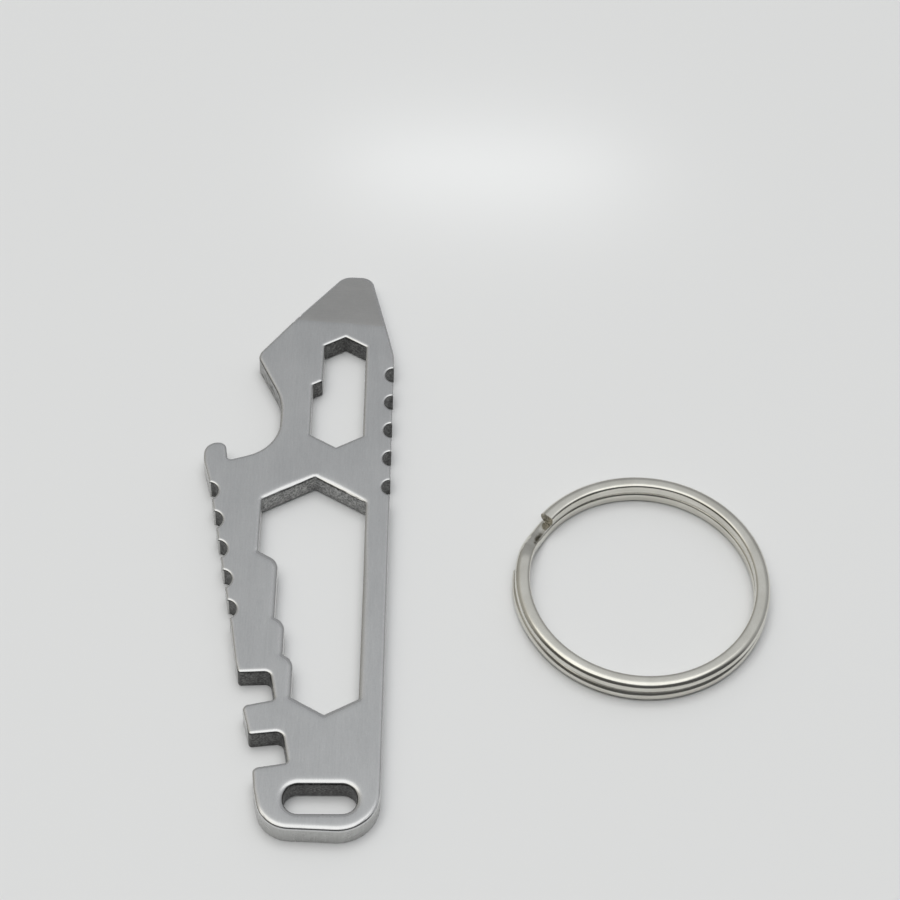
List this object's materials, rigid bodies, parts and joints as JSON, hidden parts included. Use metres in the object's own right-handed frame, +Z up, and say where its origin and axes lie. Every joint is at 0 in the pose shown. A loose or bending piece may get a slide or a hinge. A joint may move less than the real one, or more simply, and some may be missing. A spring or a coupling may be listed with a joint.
{
  "type": "keychain bottle opener",
  "caption": "Flat stainless keychain tool plate with a bottle opener mouth, stepped hexagonal wrench openings, notches, scallops, a ground tip and a loose split ring",
  "frame": {"origin": "on the plate's underside, in the solid web between the large hexagonal opening and the key-ring slot", "axes": "+X across the plate towards the ring, +Y along the plate towards the ground tip, +Z up from the face it lies on"},
  "size_m": [0.0562, 0.0667, 0.0026],
  "materials": {
    "plate_steel": "satin",
    "ring_nickel": "polished"
  },
  "bodies": {
    "plate": {"tool_plate": "plate_steel"},
    "ring": {"split_ring": "ring_nickel"}
  },
  "joints": [
    {"name": "ring_lift", "type": "slide", "parent": "plate", "child": "ring", "axis": [0, 0, 1], "range_m": [0, 0.05]}
  ]
}
